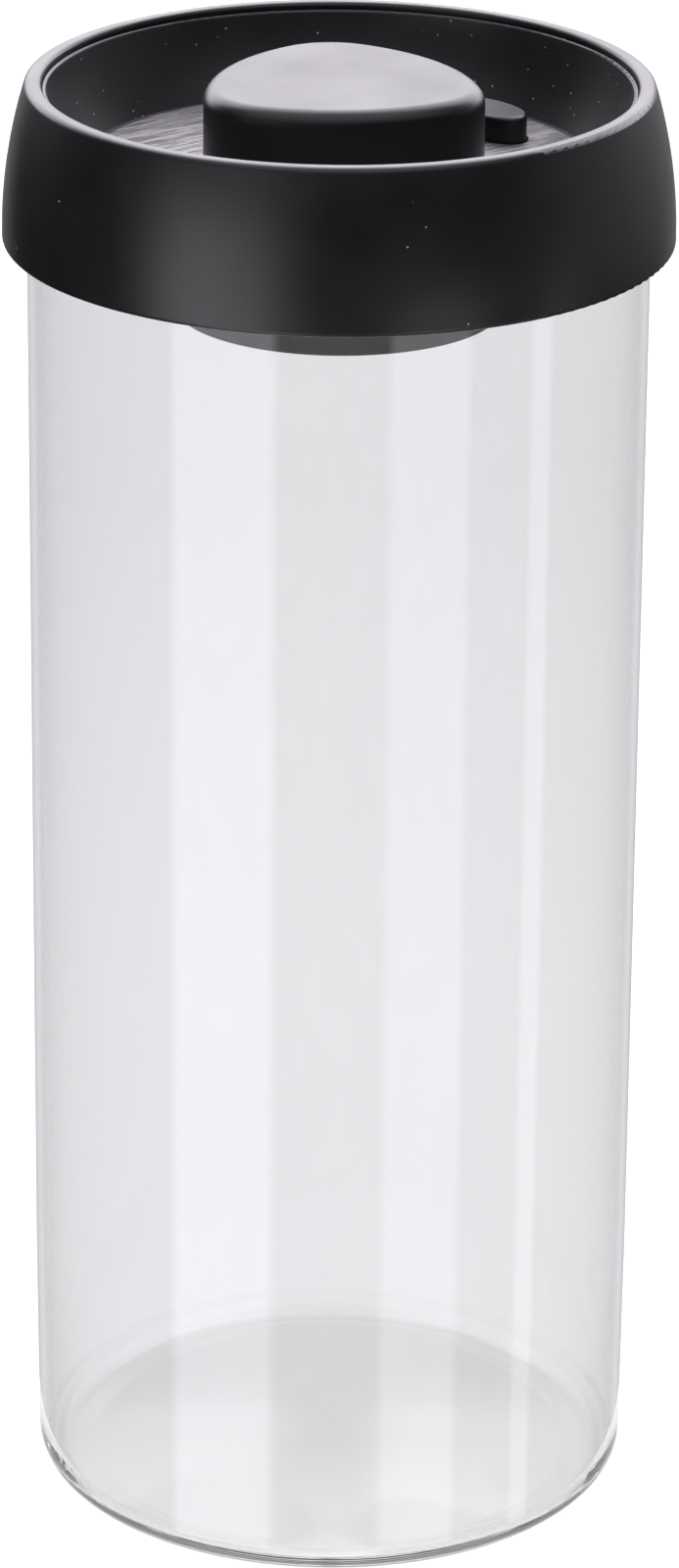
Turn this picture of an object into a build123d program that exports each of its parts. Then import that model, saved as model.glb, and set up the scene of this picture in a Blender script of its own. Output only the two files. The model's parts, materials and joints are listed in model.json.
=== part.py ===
from build123d import *
import math
import os

# A glass vacuum storage canister whose lid holds a hand pump and a release valve.
# Millimetres. The origin is at the centre of the base, on the surface it stands on; +Z is up
# and +X points from the pump button towards the release button.

# ---- glass jar ----
GLASS_R = 50.0          # outer radius of the straight wall
GLASS_WALL = 2.2
JAR_TOP = 224.0
RIM_SHARE = 0.48        # the rim's rounding, as a share of the wall
FOOT_R = 49.7           # outer radius at the foot, a little less than the wall's
TAPER_TOP = 40.0        # height where the wall becomes straight
FOOT_CORNER = 5.0       # rounding between wall and base
FLOOR_EDGE = 2.4        # top of the glass floor where it meets the wall
FLOOR_RISE = 1.2        # the floor is domed by this much
INNER_CORNER = 3.5
PUNT = 1.2              # hollow under the base
PUNT_R = 40.0

# ---- lid: outer shell ----
SHELL_BOTTOM = 216.3
SHELL_ARC_X = -26.75    # centre of the arc that curves the skirt
SHELL_ARC_Z = 217.3
SHELL_ARC_R = 80.75
SHELL_WALL = 2.3
LIP_R = 47.5            # inner radius of the shell's lip, which hangs from the rim
RIM_X = 49.3            # outer end of the rim's flat
RIM_TOP = 242.06
RIM_IN = 0.75           # rounding inside the flat
LIP_BOTTOM = 238.4
SHELL_EDGE_ROUND = 0.7
SNAP_COUNT = 6          # lugs that snap under the plug's flange
SNAP_ANGLE = 14.0
SNAP_R = 50.35
SNAP_BOTTOM = 223.9
SNAP_TOP = 225.15

# ---- lid: inner bowl and inlay ----
BOWL_R = 47.3           # rim of the bowl, inside the shell's rim
BOWL_TOP = 240.9
BOWL_LAND = 0.5         # flat of the bowl's rim
BOWL_EDGE_ROUND = 0.4
BOWL_BULGE = 0.7        # how far the bowl's side bows outwards
SKIN_BULGE = 1.05       # and its underside
DECK_R = 41.8
DECK_Z = 228.2          # the deck: top of the inlay
INLAY_R = 40.8
INLAY_T = 1.2
BOWL_FLOOR = 225.4      # underside of the bowl's floor
SPIGOT_R = 43.8         # the bowl's foot, inside the plug's wall
LEDGE_R = 48.7
LEDGE_T = 0.9
PASS_GAP = 0.35         # clearance around each button

# ---- lid: plug ----
PLATE_BOTTOM = 214.6
PLATE_T = 2.0
PLUG_R = 46.2
PLUG_INNER = 44.0
WEB_R = 45.2            # the plug's wall behind the gasket
PLUG_LIP_TOP = 217.6
FLANGE_BOTTOM = 225.2
FLANGE_TOP = 227.0
FLANGE_R = 51.0
COLLAR_IN = 26.65       # collar that holds the pump cylinder
COLLAR_OUT = 28.2
COLLAR_TOP = 222.0
BOSS_TOP = 223.4        # four bosses for the lid's screws
BOSS_AT = 37.0
BOSS_R = 3.4
PILOT_BOTTOM = 217.8

# ---- main gasket ----
GASKET_R = 46.5
FIN_R = 47.7
FIN_T = 0.8
FIN_Z = (218.8, 221.6)
FLAP_BOTTOM = 224.06
FLAP_R = 50.1

# ---- screws ----
LID_SCREW_R = 1.45
LID_SCREW_HEAD_R = 2.8
LID_SCREW_HEAD_T = 1.6
LID_SCREW_LENGTH = 7.0
WELL_R = 3.1
WELL_FLOOR = 225.0
WELL_CUP_R = 4.6
PISTON_SCREW_R = 1.25
PISTON_SCREW_HEAD_R = 2.5
PISTON_SCREW_LENGTH = 8.5
SCREW_EDGE_SHARE = 0.35 # rounding of a screw's head, as a share of its thickness
RECESS_LONG = 2.2       # cross recess in every screw head
RECESS_SLOT = 0.66
RECESS_DEPTH = 0.9

# ---- pump cylinder ----
CYL_BOTTOM = 204.8
CYL_OUT = 26.3
CYL_IN = 25.0
CYL_FLOOR = 206.4       # underside of its floor
CYL_FLOOR_T = 1.4
CYL_FLANGE = 223.0
SPRING_RIB_IN = 10.7
SPRING_RIB_OUT = 11.5
SPRING_RIB_T = 1.2
COVER_T = 1.0
FILTER_R = 19.0
FILTER_HOLE_R = 1.87
SLOT_COUNT = 12
SLOT_LENGTH = 10.0
SLOT_WIDTH = 1.6
SLOT_AT = 12.0

# ---- pump button and piston ----
BUTTON_TOP = 242.3
CORNER_AT = 11.2        # centres of the button's three rounded corners
CORNER_R = 12.7
SIDE_R = 34.0           # arc of each side of the button
BUTTON_WALL = 2.0
BUTTON_ROOF = 2.2
BUTTON_EDGE = 2.5
BUTTON_BOSS_AT = 17.0
BUTTON_BOSS_R = 2.9
PISTON_TOP = 225.2
PISTON_BOTTOM = 221.4
PISTON_DISC = 223.0     # underside of the piston's disc
PISTON_R = 24.4
PISTON_RIM_IN = 21.4
DOME_OUT = 12.6
DOME_IN = 11.0
DOME_TOP = 235.4
DOME_ROOF = 1.6
SEAL_GROOVE_R = 22.9
SEAL_R = 24.9
SEAL_BOTTOM = 222.2
SEAL_TOP = 224.4

# ---- umbrella valves ----
UMBRELLA_R = 7.2
UMBRELLA_T = 1.1
UMBRELLA_EDGE = 0.35    # thickness at its rim
UMBRELLA_STEM_R = 1.2
UMBRELLA_BULB_R = 1.7
UMBRELLA_BULB_T = 0.6
AIR_HOLES = 6
AIR_HOLE_R = 1.0
AIR_HOLE_AT = 4.4

# ---- springs ----
PUMP_SPRING_R = 9.6
PUMP_WIRE = 1.2
PUMP_TURNS = 7
RELEASE_SPRING_R = 2.35
RELEASE_WIRE = 0.5
RELEASE_TURNS = 5

# ---- release valve ----
RELEASE_X = 30.9        # centre of the oval button
RELEASE_WIDE = 14.8     # along Y
RELEASE_NARROW = 8.3    # along X
RELEASE_TOP = 232.5
RELEASE_BOTTOM = 224.0
RELEASE_EDGE = 0.7
RELEASE_DISH = 0.35
RELEASE_DISH_R = 60.0
RELEASE_STROKE = 2.5
RELEASE_CLEAR = 0.4     # between the button and the pump cylinder's flange
STOP_WIDE = 18.6        # stops under the deck keep the button in
STOP_NARROW = 6.4
STOP_TOP = 225.35
STEM_X = 32.2           # the stem stands further out than the button, clear of the pump
STEM_R = 1.6
STEM_TOP = 229.0
STEM_BOTTOM = 211.6
STEM_HEAD_R = 3.6
STEM_HEAD_T = 1.0
FLUTE_R = 0.5
FLUTE_COUNT = 3
SPRING_POCKET_R = 2.8
SPRING_POCKET_TOP = 226.5
GUIDE_R = 1.75
GUIDE_BOSS_R = 4.4      # runs into the pump collar
GUIDE_TOP = 219.0
VENT_SEAL_R = 4.0
VENT_SEAL_TOP = 214.5

CORNER_ANGLES = (60.0, 180.0, 300.0)
BOSS_ANGLES = (45.0, 135.0, 225.0, 315.0)


# ---- helpers ----

def ring(r_in, r_out, z_low, z_high):
    """A tube about Z, or a disc where r_in is 0."""
    on_floor = (Align.CENTER, Align.CENTER, Align.MIN)
    body = Cylinder(r_out, z_high - z_low, align=on_floor)
    if r_in > 0:
        body -= Cylinder(r_in, z_high - z_low, align=on_floor)
    return Pos(0, 0, z_low) * body


def rod(place, radius, z_low, z_high):
    """An upright cylinder at an (x, y) place."""
    return Pos(*place) * ring(0, radius, z_low, z_high)


def prism(outline, z_low, z_high):
    """A flat outline raised from z_low to z_high."""
    return Pos(0, 0, z_low) * extrude(outline, z_high - z_low)


def polar(radius, angle):
    """x and y at an angle in degrees."""
    turn = math.radians(angle)
    return radius * math.cos(turn), radius * math.sin(turn)


def around(piece, angles):
    """The piece turned about Z to each angle."""
    return [Rot(0, 0, angle) * piece for angle in angles]


def even_angles(count):
    return [360.0 * i / count for i in range(count)]


def edges_through(*points):
    """Straight edges through (r, z) points."""
    return [Line(start, end) for start, end in zip(points, points[1:])]


def rounded(sketch, *corners):
    """Rounds the corners of a sketch nearest to each (r, z) place by the radius beside it."""
    for place, radius in corners:
        corner = sketch.vertices().sort_by_distance((*place, 0))[0]
        sketch = fillet(corner, radius)
    return sketch


def lathe(sketch):
    """A section drawn as (r, z), turned about Z."""
    return revolve(Plane.XZ * sketch, Axis.Z)


def dome_arc(r, z_edge, z_top):
    """An arc from (r, z_edge) to the axis at z_top, whose centre is on the axis."""
    rise = z_top - z_edge
    radius = (r ** 2 + rise ** 2) / (2 * rise)
    half = math.asin(r / radius) / 2
    middle = (radius * math.sin(half), z_top - radius + radius * math.cos(half))
    return ThreePointArc((r, z_edge), middle, (0, z_top))


def arc_r(radius, z):
    """r on the skirt's arc, or on one inside it, at a height."""
    return SHELL_ARC_X + math.sqrt(radius ** 2 - (z - SHELL_ARC_Z) ** 2)


def three_sided(grow=0.0):
    """The pump button's outline: three bowed sides and three round corners, grown by grow."""
    corner = CORNER_R + grow
    side = SIDE_R + grow
    half = CORNER_AT * math.sin(math.radians(60.0))
    reach = CORNER_AT * math.cos(math.radians(60.0))
    behind = math.sqrt((side - corner) ** 2 - half ** 2) - reach
    lean = math.asin(half / (side - corner))
    tangent_x = side * math.cos(lean) - behind
    tangent_y = side * math.sin(lean)
    bow = ThreePointArc((tangent_x, -tangent_y), (side - behind, 0), (tangent_x, tangent_y))
    next_start = Vector(tangent_x, -tangent_y).rotate(Axis.Z, 120.0)
    bend = ThreePointArc((tangent_x, tangent_y), polar(CORNER_AT + corner, 60.0), next_start)
    return make_face(around(bow, even_angles(3)) + around(bend, even_angles(3)))


def oval(grow=0.0):
    """The release button's outline, long along Y, grown by grow."""
    return Pos(RELEASE_X, 0) * Ellipse(RELEASE_NARROW / 2 + grow, RELEASE_WIDE / 2 + grow)


def helix_spring(radius, wire, turns, z_low, z_high):
    """A compression spring of round wire between two heights."""
    height = z_high - z_low - wire
    path = Helix(pitch=height / turns, height=height, radius=radius)
    section = Plane(origin=path @ 0, z_dir=path % 0) * Circle(wire / 2)
    coil = sweep(section, path=path, is_frenet=True)
    low = coil.bounding_box().min.Z
    return Pos(0, 0, z_low - low) * coil


def umbrella_valve(seat, sheet):
    """A silicone umbrella valve on a seat at z, its stem through a sheet this thick."""
    edge = seat + UMBRELLA_EDGE
    cap = make_face([
        *edges_through((0, seat + UMBRELLA_T), (0, seat), (UMBRELLA_R, seat), (UMBRELLA_R, edge)),
        dome_arc(UMBRELLA_R, edge, seat + UMBRELLA_T),
    ])
    stem = ring(0, UMBRELLA_STEM_R, seat - sheet - UMBRELLA_BULB_T, seat)
    bulb = ring(0, UMBRELLA_BULB_R, seat - sheet - UMBRELLA_BULB_T, seat - sheet)
    return lathe(cap) + stem + bulb


def air_holes(z_low, z_high):
    """The ring of air holes under an umbrella valve, and its stem's hole."""
    hole = rod((AIR_HOLE_AT, 0), AIR_HOLE_R, z_low, z_high)
    return around(hole, even_angles(AIR_HOLES)) + [ring(0, UMBRELLA_STEM_R, z_low, z_high)]


def screw(place, shank_r, head_r, head_t, length, head_z, upward):
    """A pan-head screw whose head rests on head_z; upward says that its shank points up."""
    way = 1 if upward else -1
    x, y = place
    shank = rod(place, shank_r, min(head_z, head_z + way * length), max(head_z, head_z + way * length))
    head_low = head_z - head_t if upward else head_z
    head = rod(place, head_r, head_low, head_low + head_t)
    outer_face = head_low if upward else head_low + head_t
    edge = head.edges().filter_by(GeomType.CIRCLE).sort_by_distance((x, y, outer_face))[0]
    head = fillet(edge, head_t * SCREW_EDGE_SHARE)
    recess = Pos(x, y, outer_face) * Box(RECESS_LONG, RECESS_SLOT, RECESS_DEPTH * 2)
    cross = recess + Pos(x, y, outer_face) * Box(RECESS_SLOT, RECESS_LONG, RECESS_DEPTH * 2)
    return shank + head - cross


# ---- jar ----

def glass_jar():
    inner = GLASS_R - GLASS_WALL
    section = make_face([
        Line((0, PUNT), (0, FLOOR_EDGE + FLOOR_RISE)),
        dome_arc(inner, FLOOR_EDGE, FLOOR_EDGE + FLOOR_RISE),
        *edges_through((inner, FLOOR_EDGE), (inner, JAR_TOP), (GLASS_R, JAR_TOP), (GLASS_R, TAPER_TOP),
                       (FOOT_R, 0), (PUNT_R, 0)),
        dome_arc(PUNT_R, 0, PUNT),
    ])
    rim_round = GLASS_WALL * RIM_SHARE
    return lathe(rounded(
        section,
        ((inner, FLOOR_EDGE), INNER_CORNER),
        ((FOOT_R, 0), FOOT_CORNER),
        ((PUNT_R, 0), PUNT),
        ((inner, JAR_TOP), rim_round),
        ((GLASS_R, JAR_TOP), rim_round)))


# ---- lid ----

def outer_shell():
    inner_arc = SHELL_ARC_R - SHELL_WALL
    bottom_out = (arc_r(SHELL_ARC_R, SHELL_BOTTOM), SHELL_BOTTOM)
    bottom_in = (arc_r(inner_arc, SHELL_BOTTOM), SHELL_BOTTOM)
    across, high = RIM_X - SHELL_ARC_X, RIM_TOP - SHELL_ARC_Z
    # the rounding that runs smoothly from the rim's flat into the skirt's arc
    roll = (SHELL_ARC_R ** 2 - across ** 2 - high ** 2) / (2 * (SHELL_ARC_R - high))
    roll_z = RIM_TOP - roll
    lean = math.atan2(roll_z - SHELL_ARC_Z, across)
    shoulder = (RIM_X + roll * math.cos(lean), roll_z + roll * math.sin(lean))
    halfway = (lean + math.pi / 2) / 2
    roll_mid = (RIM_X + roll * math.cos(halfway), roll_z + roll * math.sin(halfway))
    flat_in = (LIP_R + RIM_IN, RIM_TOP)
    parting = (LIP_R, RIM_TOP - RIM_IN)
    inner_mid = (flat_in[0] - RIM_IN * math.sqrt(0.5), parting[1] + RIM_IN * math.sqrt(0.5))
    lip_in = (LIP_R, LIP_BOTTOM)
    lip_out = (arc_r(inner_arc, LIP_BOTTOM), LIP_BOTTOM)
    mid_z = (SHELL_BOTTOM + LIP_BOTTOM) / 2
    section = make_face([
        ThreePointArc(bottom_out, (arc_r(SHELL_ARC_R, mid_z), mid_z), shoulder),
        ThreePointArc(shoulder, roll_mid, (RIM_X, RIM_TOP)),
        Line((RIM_X, RIM_TOP), flat_in),
        ThreePointArc(flat_in, inner_mid, parting),
        *edges_through(parting, lip_in, lip_out),
        ThreePointArc(lip_out, (arc_r(inner_arc, mid_z), mid_z), bottom_in),
        Line(bottom_in, bottom_out),
    ])
    section = rounded(section, (bottom_out, SHELL_EDGE_ROUND), (bottom_in, SHELL_EDGE_ROUND))
    wall_r = arc_r(inner_arc, SNAP_TOP) + SHELL_WALL / 2
    lug = revolve(
        Plane.XZ * Pos((SNAP_R + wall_r) / 2, (SNAP_BOTTOM + SNAP_TOP) / 2)
        * Rectangle(wall_r - SNAP_R, SNAP_TOP - SNAP_BOTTOM),
        Axis.Z, revolution_arc=SNAP_ANGLE)
    return lathe(section) + around(lug, even_angles(SNAP_COUNT))


def inner_bowl():
    rim_in = BOWL_R - BOWL_LAND
    floor_top = DECK_Z - INLAY_T
    side_mid = ((rim_in + DECK_R) / 2 + BOWL_BULGE, (BOWL_TOP + DECK_Z) / 2)
    ledge_top = LIP_BOTTOM
    ledge_low = ledge_top - LEDGE_T
    skin_low = (SPIGOT_R, FLANGE_TOP + INLAY_T)
    skin_mid = ((SPIGOT_R + LEDGE_R) / 2 + SKIN_BULGE, (skin_low[1] + ledge_low) / 2 - BOWL_BULGE)
    section = make_face([
        *edges_through((0, BOWL_FLOOR), (0, floor_top), (INLAY_R, floor_top), (INLAY_R, DECK_Z),
                       (DECK_R, DECK_Z)),
        ThreePointArc((DECK_R, DECK_Z), side_mid, (rim_in, BOWL_TOP)),
        *edges_through((rim_in, BOWL_TOP), (BOWL_R, BOWL_TOP), (BOWL_R, ledge_top),
                       (LEDGE_R, ledge_top), (LEDGE_R, ledge_low)),
        ThreePointArc((LEDGE_R, ledge_low), skin_mid, skin_low),
        *edges_through(skin_low, (SPIGOT_R, BOWL_FLOOR), (0, BOWL_FLOOR)),
    ])
    bowl = lathe(rounded(section, ((rim_in, BOWL_TOP), BOWL_EDGE_ROUND)))
    for angle in BOSS_ANGLES:
        bowl += rod(polar(BOSS_AT, angle), WELL_CUP_R, BOSS_TOP, BOWL_FLOOR)
        bowl -= rod(polar(BOSS_AT, angle), WELL_R, WELL_FLOOR, floor_top)
        bowl -= rod(polar(BOSS_AT, angle), LID_SCREW_R, BOSS_TOP, WELL_FLOOR)
    return bowl - button_passes(BOWL_FLOOR, DECK_Z)


def button_passes(z_low, z_high):
    """The openings that the two buttons move in."""
    return [prism(three_sided(PASS_GAP), z_low, z_high), prism(oval(PASS_GAP), z_low, z_high)]


def deck_plate():
    return ring(0, INLAY_R, DECK_Z - INLAY_T, DECK_Z) - button_passes(DECK_Z - INLAY_T, DECK_Z)


def lid_base():
    plate_top = PLATE_BOTTOM + PLATE_T
    section = make_face(Polyline(
        (COLLAR_IN, PLATE_BOTTOM), (PLUG_R, PLATE_BOTTOM), (PLUG_R, PLUG_LIP_TOP), (WEB_R, PLUG_LIP_TOP),
        (WEB_R, FLANGE_BOTTOM), (FLANGE_R, FLANGE_BOTTOM), (FLANGE_R, FLANGE_TOP),
        (PLUG_INNER, FLANGE_TOP), (PLUG_INNER, plate_top), (COLLAR_OUT, plate_top),
        (COLLAR_OUT, COLLAR_TOP), (COLLAR_IN, COLLAR_TOP), close=True))
    section = rounded(section, ((PLUG_R, PLATE_BOTTOM), PLATE_T / 2), ((PLUG_INNER, plate_top), PLATE_T / 2))
    plug = lathe(section)
    for angle in BOSS_ANGLES:
        plug += rod(polar(BOSS_AT, angle), BOSS_R, plate_top, BOSS_TOP)
        plug -= rod(polar(BOSS_AT, angle), LID_SCREW_R, PILOT_BOTTOM, BOSS_TOP)
    plug += rod((STEM_X, 0), GUIDE_BOSS_R, PLATE_BOTTOM, GUIDE_TOP)
    return plug - rod((STEM_X, 0), GUIDE_R, PLATE_BOTTOM, GUIDE_TOP)


def main_gasket():
    gasket = ring(WEB_R, GASKET_R, PLUG_LIP_TOP, FLANGE_BOTTOM)
    for z in FIN_Z:
        gasket += ring(WEB_R, FIN_R, z, z + FIN_T)
    return gasket + ring(WEB_R, FLAP_R, FLAP_BOTTOM, FLANGE_BOTTOM)


def lid_screws():
    return [screw(polar(BOSS_AT, angle), LID_SCREW_R, LID_SCREW_HEAD_R, LID_SCREW_HEAD_T,
                  LID_SCREW_LENGTH, WELL_FLOOR, upward=False)
            for angle in BOSS_ANGLES]


def pump_cylinder():
    floor_top = CYL_FLOOR + CYL_FLOOR_T
    wall = ring(CYL_IN, CYL_OUT, CYL_BOTTOM, BOWL_FLOOR)
    wall += ring(CYL_IN, COLLAR_OUT, CYL_FLANGE, BOWL_FLOOR)
    floor = ring(0, CYL_OUT, CYL_FLOOR, floor_top)
    rib = ring(SPRING_RIB_IN, SPRING_RIB_OUT, floor_top, floor_top + SPRING_RIB_T)
    return wall + floor + rib - air_holes(CYL_FLOOR, floor_top)


def cylinder_seal():
    return ring(COLLAR_IN, COLLAR_OUT, COLLAR_TOP, CYL_FLANGE)


def inlet_valve():
    return umbrella_valve(CYL_FLOOR + CYL_FLOOR_T, CYL_FLOOR_T)


def dust_filter():
    return ring(FILTER_HOLE_R, FILTER_R, CYL_BOTTOM + COVER_T, CYL_FLOOR)


def valve_cover():
    cover = ring(0, CYL_IN, CYL_BOTTOM, CYL_BOTTOM + COVER_T)
    cover += ring(FILTER_R, CYL_IN, CYL_BOTTOM + COVER_T, CYL_FLOOR)
    slot = Pos(SLOT_AT, 0) * SlotOverall(SLOT_LENGTH, SLOT_WIDTH)
    slot = prism(slot, CYL_BOTTOM, CYL_BOTTOM + COVER_T)
    return cover - around(slot, even_angles(SLOT_COUNT))


# ---- pump ----

def pump_button():
    button = prism(three_sided(), PISTON_TOP, BUTTON_TOP)
    top_edges = button.faces().sort_by(Axis.Z)[-1].edges()
    button = fillet(top_edges, BUTTON_EDGE)
    button -= prism(three_sided(-BUTTON_WALL), PISTON_TOP, BUTTON_TOP - BUTTON_ROOF)
    for angle in CORNER_ANGLES:
        place = polar(BUTTON_BOSS_AT, angle)
        button += rod(place, BUTTON_BOSS_R, PISTON_TOP, BUTTON_TOP - BUTTON_ROOF)
        button -= rod(place, PISTON_SCREW_R, PISTON_TOP, PISTON_DISC + PISTON_SCREW_LENGTH)
    return button


def piston():
    disc = ring(DOME_IN, PISTON_R, PISTON_DISC, PISTON_TOP)
    rim = ring(PISTON_RIM_IN, PISTON_R, PISTON_BOTTOM, PISTON_TOP)
    dome = ring(0, DOME_OUT, PISTON_DISC, DOME_TOP) - ring(0, DOME_IN, PISTON_DISC, DOME_TOP - DOME_ROOF)
    body = disc + rim + dome
    body -= ring(SEAL_GROOVE_R, PISTON_R, SEAL_BOTTOM, SEAL_TOP)
    body -= air_holes(DOME_TOP - DOME_ROOF, DOME_TOP)
    for angle in CORNER_ANGLES:
        body -= rod(polar(BUTTON_BOSS_AT, angle), PISTON_SCREW_R, PISTON_DISC, PISTON_TOP)
    return body


def piston_seal():
    """A lip seal: a ring whose outer face has two lips with a hollow between them."""
    lip = (SEAL_TOP - SEAL_BOTTOM) / 4
    hollow = SEAL_R - PISTON_R
    seal = ring(SEAL_GROOVE_R, SEAL_R, SEAL_BOTTOM, SEAL_TOP)
    return seal - ring(SEAL_R - hollow, SEAL_R, SEAL_BOTTOM + lip, SEAL_TOP - lip)


def piston_screws():
    return [screw(polar(BUTTON_BOSS_AT, angle), PISTON_SCREW_R, PISTON_SCREW_HEAD_R,
                  PISTON_DISC - PISTON_BOTTOM, PISTON_SCREW_LENGTH, PISTON_DISC, upward=True)
            for angle in CORNER_ANGLES]


def exhaust_valve():
    return umbrella_valve(DOME_TOP, DOME_ROOF)


def pump_spring():
    return helix_spring(PUMP_SPRING_R, PUMP_WIRE, PUMP_TURNS, CYL_FLOOR + CYL_FLOOR_T, DOME_TOP - DOME_ROOF)


# ---- release valve ----

def release_button():
    button = prism(oval(), RELEASE_BOTTOM, RELEASE_TOP)
    top_edges = button.faces().sort_by(Axis.Z)[-1].edges()
    button = fillet(top_edges, RELEASE_EDGE)
    button -= Pos(RELEASE_X, 0, RELEASE_TOP - RELEASE_DISH + RELEASE_DISH_R) * Sphere(RELEASE_DISH_R)
    button -= ring(0, COLLAR_OUT + RELEASE_CLEAR, RELEASE_BOTTOM, BOWL_FLOOR + RELEASE_STROKE + PASS_GAP / 2)
    stops = Pos(STEM_X, 0) * SlotOverall(STOP_WIDE, STOP_NARROW, rotation=90)
    button += prism(stops, RELEASE_BOTTOM, STOP_TOP)
    button -= rod((STEM_X, 0), SPRING_POCKET_R, RELEASE_BOTTOM, SPRING_POCKET_TOP)
    return button - rod((STEM_X, 0), STEM_R, SPRING_POCKET_TOP, STEM_TOP)


def release_stem():
    stem = ring(0, STEM_R, STEM_BOTTOM, STEM_TOP)
    flute = rod((STEM_R, 0), FLUTE_R, STEM_BOTTOM + STEM_HEAD_T, GUIDE_TOP)
    stem -= around(flute, even_angles(FLUTE_COUNT))
    stem += ring(0, STEM_HEAD_R, STEM_BOTTOM, STEM_BOTTOM + STEM_HEAD_T)
    return Pos(STEM_X, 0) * stem


def vent_seal():
    return Pos(STEM_X, 0) * ring(STEM_R, VENT_SEAL_R, STEM_BOTTOM + STEM_HEAD_T, VENT_SEAL_TOP)


def release_spring():
    spring = helix_spring(RELEASE_SPRING_R, RELEASE_WIRE, RELEASE_TURNS, GUIDE_TOP, SPRING_POCKET_TOP)
    return Pos(STEM_X, 0) * spring


PIECES = (
    glass_jar, outer_shell, inner_bowl, deck_plate, lid_base, main_gasket, lid_screws, pump_cylinder,
    cylinder_seal, inlet_valve, dust_filter, valve_cover, pump_button, piston, piston_seal,
    piston_screws, exhaust_valve, pump_spring, release_button, release_stem, vent_seal, release_spring,
)


def main():
    os.makedirs("parts", exist_ok=True)
    for make in PIECES:
        made = make()
        solids = made if isinstance(made, list) else made.solids()
        shape = solids[0] if len(solids) == 1 else Compound(children=list(solids))
        export_step(shape, f"parts/{make.__name__}.step")


main()
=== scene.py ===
import json
import math

import bpy
from mathutils import Matrix

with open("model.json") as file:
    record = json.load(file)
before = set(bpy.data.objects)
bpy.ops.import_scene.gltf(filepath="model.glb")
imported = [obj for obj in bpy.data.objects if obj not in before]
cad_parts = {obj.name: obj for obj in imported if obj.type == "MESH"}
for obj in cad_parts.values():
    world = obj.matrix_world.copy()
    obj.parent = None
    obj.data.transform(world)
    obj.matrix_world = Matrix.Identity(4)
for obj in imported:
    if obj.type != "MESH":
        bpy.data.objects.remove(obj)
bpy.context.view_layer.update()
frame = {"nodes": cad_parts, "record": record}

# The canister stands on the origin, in metres. The release button is on +X, and the camera looks
# from the side of the pump button's back corner.
VIEW_TURN = math.radians(-37.0)     # the viewpoint, turned about Z from straight along +Y
CAMERA_BACK = 1.009                 # from the canister's axis
CAMERA_HIGH = 0.5226
CAMERA_DOWN = math.radians(21.67)
CAMERA_ROLL = math.radians(0.5)
CAMERA_SWING = math.radians(-0.048)
LENS_MM = 150.5
SENSOR_MM = 36.0

CLIP_NEAR = 0.05
CLIP_FAR = 20.0

LIGHT_BOUNCES = 48                  # enough to cross the thick glass of the foot
FLOOR_Z = -0.0004

# the studio bowl: a flat floor, a curve up, and a dome that closes it
FLAT_RINGS = (0.0, 0.2, 0.6, 1.5)
FLAT_R = 3.0
CURVE_R = 4.0
DOME_HIGH = 5.0
CURVE_STEPS = 12
SEGMENTS = 96
STAGE_GREYS = ((0.1, 0.1, 0.1), (0.12, 0.12, 0.12))

# light of the studio bowl: what the camera sees, and what shows through the glass
SEEN_LIGHT = 1.0
WHITE = (1.0, 1.0, 1.0, 1.0)
THROUGH_TINT = (0.985, 0.98, 1.0, 1.0)
THROUGH_NEAR = 0.74                 # near the foot and far from it
THROUGH_FAR = 0.64
THROUGH_REACH = (0.06, 0.5)
THROUGH_FRONT = 0.14                # more under the front of the foot, in soft patches
FRONT_REACH = (-0.045, 0.0)
PATCH_SCALE = 28.0
PATCH_SHARES = (0.4, 1.4)
PATCH_EDGE = (0.5, 0.56)
THROUGH_SIDE = 0.72                 # share that is left far to the sides
SIDE_REACH = (0.2, 0.7)
THROUGH_LAMPS = 0.7                 # lamps high up, left and right
LAMP_HEIGHT = (3.0, 3.4)
LAMP_SIDE = (0.1, 0.3)
NEAR_FLOOR_R = 0.058                # the bit of floor that the glass foot mirrors
NEAR_FLOOR_LIGHT = 0.8

# soft light panels by direction, in degrees: strength, turns from the camera's side, rises above
# level, and how softly each ends across and upwards
PANELS = (
    (2.6, (-60, -26), (-60, -3), 6, 20),
    (1.9, (22, 47), (-60, -16), 5, 4),
    (1.7, (78, 83), (-60, -16), 4, 4),
    (4.2, (138, 222), (11, 60), 20, 10),
    (1.0, (-180, 180), (66, 90), 1, 14),
    (0.7, (-70, 70), (34, 64), 20, 12),
    (0.45, (158, 202), (-60, 0), 12, 10),
    (0.35, (84, 140), (-12, 14), 20, 8),
)
AMBIENT = 0.03
SKY_TINT = (0.97, 0.94, 1.0, 1.0)

# colours, each as a dark and a light tone
GLASS = ((0.93, 0.94, 0.94), (0.95, 0.955, 0.95))
BLACK = ((0.0055, 0.005, 0.0065), (0.0085, 0.008, 0.0095))
BOWL_BLACK = ((0.014, 0.0125, 0.015), (0.02, 0.018, 0.021))
INNER_BLACK = ((0.012, 0.012, 0.014), (0.02, 0.02, 0.022))
CYLINDER_BLACK = ((0.01, 0.01, 0.012), (0.015, 0.015, 0.018))
INLAY = ((0.07, 0.066, 0.074), (0.5, 0.49, 0.51))
SILICONE = ((0.62, 0.63, 0.63), (0.74, 0.75, 0.75))
FELT = ((0.66, 0.65, 0.61), (0.86, 0.85, 0.81))
STEEL = (0.62, 0.62, 0.64)
SPRING_STEEL = (0.66, 0.66, 0.68)
STEEL_SHADE = 0.8
DUST = (0.45, 0.43, 0.45)
DUST_SCALE = 700.0
DUST_R = 0.0002
MIX_COLOURS = (6, 7)                # places of the mix node's two colour sockets


# ---- node helpers ----

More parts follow.
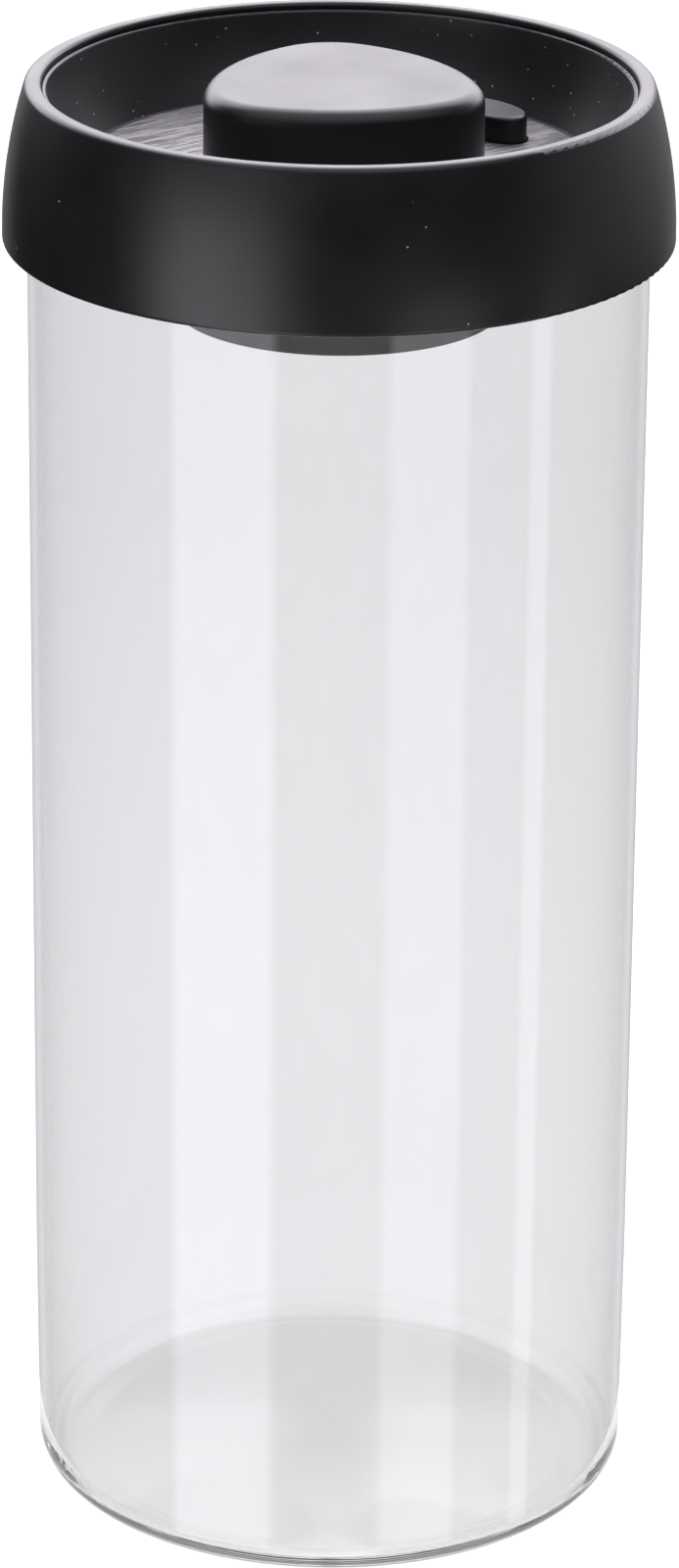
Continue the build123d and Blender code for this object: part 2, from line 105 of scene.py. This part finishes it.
class Nodes:
    """A short way to build one material's node tree."""

    def __init__(self, name):
        self.material = bpy.data.materials.new(name)
        self.material.use_nodes = True
        self.tree = self.material.node_tree
        self.shader = self.tree.nodes["Principled BSDF"]

    def add(self, kind, settings=None, **inputs):
        node = self.tree.nodes.new(kind)
        for key, value in (settings or {}).items():
            setattr(node, key, value)
        for key, value in inputs.items():
            self.put(node, key.replace("_", " "), value)
        return node

    def put(self, node, key, value):
        socket = node.inputs[key]
        if isinstance(value, bpy.types.NodeSocket):
            self.tree.links.new(value, socket)
        else:
            socket.default_value = value

    def set(self, **inputs):
        for key, value in inputs.items():
            self.put(self.shader, key.replace("_", " "), value)

    def place(self):
        return self.add("ShaderNodeTexCoord").outputs["Object"]

    def noise(self, scale, detail=4.0, roughness=0.5, vector=None):
        node = self.add("ShaderNodeTexNoise", Vector=vector or self.place(), Scale=scale,
                        Detail=detail, Roughness=roughness)
        return node.outputs["Fac"]

    def stretch(self, scale, turn=0.0):
        """Places turned about Z, then scaled."""
        node = self.add("ShaderNodeMapping", Vector=self.place(), Rotation=(0.0, 0.0, turn), Scale=scale)
        return node.outputs["Vector"]

    def spread(self, value, low, high, from_low=0.3, from_high=0.7):
        """The value carried over from one range to another, and held at its ends."""
        node = self.add("ShaderNodeMapRange", Value=value)
        for key, number in (("From Min", from_low), ("From Max", from_high),
                            ("To Min", low), ("To Max", high)):
            node.inputs[key].default_value = number
        return node.outputs["Result"]

    def math(self, operation, first, second=None):
        node = self.add("ShaderNodeMath", {"operation": operation})
        for socket, value in zip(node.inputs, (first, second)):
            if isinstance(value, bpy.types.NodeSocket):
                self.tree.links.new(value, socket)
            elif value is not None:
                socket.default_value = value
        return node.outputs[0]

    def specks(self, share):
        """1 on round specks of dust, in a share of the cells that they are scattered over."""
        cells = self.add("ShaderNodeTexVoronoi", Vector=self.place(), Scale=DUST_SCALE)
        edge = DUST_R * DUST_SCALE
        near = self.spread(cells.outputs["Distance"], 1.0, 0.0, edge * 0.6, edge)
        pick = self.add("ShaderNodeSeparateColor", Color=cells.outputs["Color"]).outputs["Red"]
        return self.math("MULTIPLY", near, self.math("LESS_THAN", pick, share))

    def colours(self, value, dark, light):
        """A blend of two colours, or of a colour socket and a colour."""
        node = self.add("ShaderNodeMix", {"data_type": "RGBA"})
        self.tree.links.new(value, node.inputs["Factor"])
        for place, colour in zip(MIX_COLOURS, (dark, light)):
            socket = node.inputs[place]
            if isinstance(colour, bpy.types.NodeSocket):
                self.tree.links.new(colour, socket)
            else:
                socket.default_value = (*colour, 1.0)
        return node.outputs[2]

    def bump(self, height, distance, strength=1.0):
        node = self.add("ShaderNodeBump", Height=height, Distance=distance, Strength=strength)
        return node.outputs["Normal"]


# ---- materials ----

def clear_glass():
    """Borosilicate: clear, with the faint ripple of drawn glass above its moulded foot."""
    m = Nodes("clear_glass")
    ripple = m.noise(9.0, 2.0, 0.4, m.stretch((1.0, 1.0, 0.15)))
    height = m.add("ShaderNodeSeparateXYZ", Vector=m.place()).outputs["Z"]
    m.set(Base_Color=m.colours(m.spread(ripple, 0.0, 1.0), *GLASS),
          Roughness=0.0, IOR=1.47, Transmission_Weight=1.0,
          Normal=m.bump(ripple, 0.00004, m.spread(height, 0.0, 0.5, 0.012, 0.05)))
    return m.material


def moulded_black(name, tones, rough, grain, dust=0.0):
    """Satin black plastic with a fine moulded grain, slight mottling and a share of dust."""
    m = Nodes(name)
    mottle = m.noise(70.0, 3.0)
    fine = m.noise(2600.0, 2.0, 0.6)
    colour = m.colours(m.spread(mottle, 0.0, 1.0), *tones)
    if dust:
        colour = m.colours(m.specks(dust), colour, DUST)
    m.set(Base_Color=colour,
          Roughness=m.spread(mottle, rough - 0.03, rough + 0.03), IOR=1.5,
          Normal=m.bump(fine, grain))
    return m.material


def brushed_inlay():
    """Fine straight grain, like brushed or wood-grained plastic, with a little dust."""
    m = Nodes("brushed_inlay")
    lines = m.noise(1.0, 6.0, 0.7, m.stretch((60.0, 1600.0, 1.0), VIEW_TURN))
    pores = m.noise(1.0, 3.0, 0.6, m.stretch((260.0, 1900.0, 1.0), VIEW_TURN))
    grain = m.math("MULTIPLY", m.spread(lines, 0.0, 1.0, 0.4, 0.6), m.spread(pores, 0.35, 1.0, 0.38, 0.5))
    m.set(Base_Color=m.colours(m.specks(0.15), m.colours(grain, *INLAY), DUST),
          Metallic=0.5, Roughness=m.spread(grain, 0.46, 0.32), IOR=1.5,
          Normal=m.bump(grain, 0.00004))
    return m.material


def silicone():
    """Milky and slightly clear, with a soft haze."""
    m = Nodes("silicone")
    haze = m.noise(220.0, 3.0)
    m.set(Base_Color=m.colours(m.spread(haze, 0.0, 1.0), *SILICONE),
          Roughness=m.spread(haze, 0.42, 0.55), Transmission_Weight=0.25, IOR=1.41,
          Normal=m.bump(haze, 0.00001))
    return m.material


def plated_steel(name, tint, line_scale):
    """Bright plated metal with fine marks, stretched where the scales differ."""
    m = Nodes(name)
    lines = m.noise(1.0, 4.0, 0.6, m.stretch(line_scale))
    m.set(Base_Color=m.colours(m.spread(lines, 0.0, 1.0), tuple(c * STEEL_SHADE for c in tint), tint),
          Metallic=1.0, Roughness=m.spread(lines, 0.24, 0.4), Normal=m.bump(lines, 0.000004))
    return m.material


def pressed_felt():
    """Off-white fibres pressed flat."""
    m = Nodes("pressed_felt")
    fibres = m.noise(1800.0, 5.0, 0.7)
    m.set(Base_Color=m.colours(m.spread(fibres, 0.0, 1.0), *FELT),
          Roughness=0.95, Normal=m.bump(fibres, 0.00008))
    return m.material


def dress(materials):
    """Gives every CAD node the material of its slot."""
    for part in frame["record"]["subparts"]:
        node = frame["nodes"][part["node"]]
        node.data.materials.clear()
        node.data.materials.append(materials[part["material_slot"]])


# ---- stage ----

def studio_rings():
    """A flat floor, then a wide curve up into a closed dome."""
    quarter = [math.pi / 2 * i / CURVE_STEPS for i in range(1, CURVE_STEPS + 1)]
    top = FLOOR_Z + CURVE_R
    flat = [(r, FLOOR_Z) for r in (*FLAT_RINGS, FLAT_R)]
    curve = [(FLAT_R + CURVE_R * math.sin(t), top - CURVE_R * math.cos(t)) for t in quarter]
    dome = [((FLAT_R + CURVE_R) * math.cos(t), top + DOME_HIGH * math.sin(t)) for t in quarter]
    return flat + curve + dome


def turned_piece(name, rings):
    """A surface of revolution through rings of (radius, height)."""
    turns = [2 * math.pi * i / SEGMENTS for i in range(SEGMENTS)]
    points = [(r * math.cos(t), r * math.sin(t), z) for r, z in rings for t in turns]
    faces = []
    for low in range(len(rings) - 1):
        for i in range(SEGMENTS):
            a, b = low * SEGMENTS + i, low * SEGMENTS + (i + 1) % SEGMENTS
            faces.append((a, b, b + SEGMENTS, a + SEGMENTS))
    mesh = bpy.data.meshes.new(name)
    mesh.from_pydata(points, [], faces)
    piece = bpy.data.objects.new(name, mesh)
    bpy.context.scene.collection.objects.link(piece)
    return piece


def light_through(m):
    """Brightest around the canister's foot, dimmer far from it and to the sides."""
    turned = m.add("ShaderNodeVectorRotate", {"rotation_type": "Z_AXIS"}, Vector=m.place(),
                   Angle=-VIEW_TURN).outputs[0]
    away = m.add("ShaderNodeVectorMath", {"operation": "LENGTH"}, Vector=turned).outputs["Value"]
    apart = m.add("ShaderNodeSeparateXYZ", Vector=turned)
    side = m.math("ABSOLUTE", apart.outputs["X"])
    floor = m.spread(away, THROUGH_NEAR, THROUGH_FAR, *THROUGH_REACH)
    front = m.spread(apart.outputs["Y"], THROUGH_FRONT, 0.0, *FRONT_REACH)
    patches = m.spread(m.noise(PATCH_SCALE, 1.0), *PATCH_SHARES, *PATCH_EDGE)
    floor = m.math("ADD", floor, m.math("MULTIPLY", front, patches))
    level = m.math("MULTIPLY", floor, m.spread(side, 1.0, THROUGH_SIDE, *SIDE_REACH))
    lamps = m.math("MULTIPLY", m.spread(apart.outputs["Z"], 0.0, THROUGH_LAMPS, *LAMP_HEIGHT),
                   m.spread(side, 0.0, 1.0, *LAMP_SIDE))
    return m.math("ADD", level, lamps)


def stage_piece(name, rings, ray, light, colour):
    """A glowing piece of the studio that only one kind of ray meets."""
    piece = turned_piece(name, rings)
    m = Nodes(name)
    grain = m.noise(3.0, 2.0)
    m.set(Base_Color=m.colours(m.spread(grain, 0.0, 1.0), *STAGE_GREYS),
          Roughness=0.9, Emission_Color=colour, Emission_Strength=light(m))
    piece.data.materials.append(m.material)
    for kind in ("camera", "transmission", "glossy", "diffuse", "shadow"):
        setattr(piece, "visible_" + kind, kind == ray)


def make_backdrop():
    """White for the camera, dimmer through the glass, and mirrored in the foot where it is near."""
    stage_piece("backdrop", studio_rings(), "camera", lambda m: SEEN_LIGHT, WHITE)
    stage_piece("backdrop_through_glass", studio_rings(), "transmission", light_through, THROUGH_TINT)
    near = [(0.0, FLOOR_Z), (NEAR_FLOOR_R, FLOOR_Z)]
    stage_piece("near_floor", near, "glossy", lambda m: NEAR_FLOOR_LIGHT, THROUGH_TINT)


class Sky:
    """The world's light, as soft panels by direction around the canister."""

    def __init__(self):
        self.world = bpy.data.worlds.new("studio")
        self.world.use_nodes = True
        self.tree = self.world.node_tree
        self.nodes = self.tree.nodes
        way = self.nodes.new("ShaderNodeTexCoord").outputs["Generated"]
        parts = self.nodes.new("ShaderNodeSeparateXYZ")
        self.tree.links.new(way, parts.inputs[0])
        turned = self.nodes.new("ShaderNodeVectorRotate")
        turned.rotation_type = "Z_AXIS"
        turned.inputs["Angle"].default_value = math.pi / 2 - VIEW_TURN
        self.tree.links.new(way, turned.inputs["Vector"])
        flat = self.nodes.new("ShaderNodeSeparateXYZ")
        self.tree.links.new(turned.outputs[0], flat.inputs[0])
        # the turn, 0 towards the camera's side and growing to the right, and the height above level
        self.turn = self.math("ARCTAN2", flat.outputs["Y"], flat.outputs["X"])
        self.rise = self.math("ARCSINE", parts.outputs["Z"])
        self.total = 0.0

    def math(self, operation, first, second=None, third=None):
        node = self.nodes.new("ShaderNodeMath")
        node.operation = operation
        for socket, value in zip(node.inputs, (first, second, third)):
            if isinstance(value, bpy.types.NodeSocket):
                self.tree.links.new(value, socket)
            elif value is not None:
                socket.default_value = value
        return node.outputs[0]

    def window(self, value, low, high, soft):
        """1 between two angles in degrees, falling to 0 over soft degrees outside them."""
        low, high, soft = (math.radians(v) for v in (low, high, soft))
        middle, half = (low + high) / 2, (high - low) / 2
        away = self.math("ABSOLUTE", self.math("SUBTRACT", value, middle))
        node = self.nodes.new("ShaderNodeMapRange")
        node.interpolation_type = "SMOOTHSTEP"
        self.tree.links.new(away, node.inputs["Value"])
        for key, number in (("From Min", half), ("From Max", half + soft),
                            ("To Min", 1.0), ("To Max", 0.0)):
            node.inputs[key].default_value = number
        return node.outputs["Result"]

    def panel(self, light, turns, rises, soft, rise_soft):
        """Adds one panel, and the rest of it where it runs on past half a turn."""
        across = self.window(self.turn, *turns, soft)
        if turns[1] > 180:
            rest = self.window(self.turn, turns[0] - 360, turns[1] - 360, soft)
            across = self.math("MAXIMUM", across, rest)
        shape = self.math("MULTIPLY", across, self.window(self.rise, *rises, rise_soft))
        self.total = self.math("MULTIPLY_ADD", shape, light, self.total)

    def finish(self, ambient):
        strength = self.math("ADD", self.total, ambient)
        self.tree.links.new(strength, self.nodes["Background"].inputs["Strength"])
        self.nodes["Background"].inputs["Color"].default_value = SKY_TINT
        bpy.context.scene.world = self.world


def make_light():
    sky = Sky()
    for panel in PANELS:
        sky.panel(*panel)
    sky.finish(AMBIENT)


def make_camera():
    lens = bpy.data.cameras.new("camera")
    lens.lens = LENS_MM
    lens.sensor_width = SENSOR_MM
    lens.clip_start, lens.clip_end = CLIP_NEAR, CLIP_FAR
    camera = bpy.data.objects.new("camera", lens)
    bpy.context.scene.collection.objects.link(camera)
    turn = Matrix.Rotation(VIEW_TURN, 4, "Z")
    tilt = Matrix.Rotation(math.pi / 2 - CAMERA_DOWN, 4, "X")
    roll = Matrix.Rotation(CAMERA_ROLL, 4, "Z")
    swing = Matrix.Rotation(CAMERA_SWING, 4, "Z")
    place = Matrix.Translation((0.0, -CAMERA_BACK, CAMERA_HIGH))
    camera.matrix_world = turn @ place @ swing @ tilt @ roll
    bpy.context.scene.camera = camera


# ---- build ----

make_camera()
make_light()
make_backdrop()

dress({
    "clear_glass": clear_glass(),
    "black_shell": moulded_black("black_shell", BLACK, rough=0.36, grain=0.00001, dust=0.01),
    "black_bowl": moulded_black("black_bowl", BOWL_BLACK, rough=0.4, grain=0.00001, dust=0.3),
    "black_button": moulded_black("black_button", BLACK, rough=0.38, grain=0.000006),
    "inlay": brushed_inlay(),
    "inner_plastic": moulded_black("inner_plastic", INNER_BLACK, rough=0.4, grain=0.00002),
    "cylinder_plastic": moulded_black("cylinder_plastic", CYLINDER_BLACK, rough=0.16, grain=0.000004),
    "silicone": silicone(),
    "steel": plated_steel("plated_steel", STEEL, (400.0, 400.0, 400.0)),
    "spring_steel": plated_steel("spring_steel", SPRING_STEEL, (900.0, 900.0, 200.0)),
    "felt": pressed_felt(),
})

scene = bpy.context.scene
scene.view_settings.view_transform = "Standard"
for bounces in ("max_bounces", "transmission_bounces", "glossy_bounces"):
    setattr(scene.cycles, bounces, LIGHT_BOUNCES)
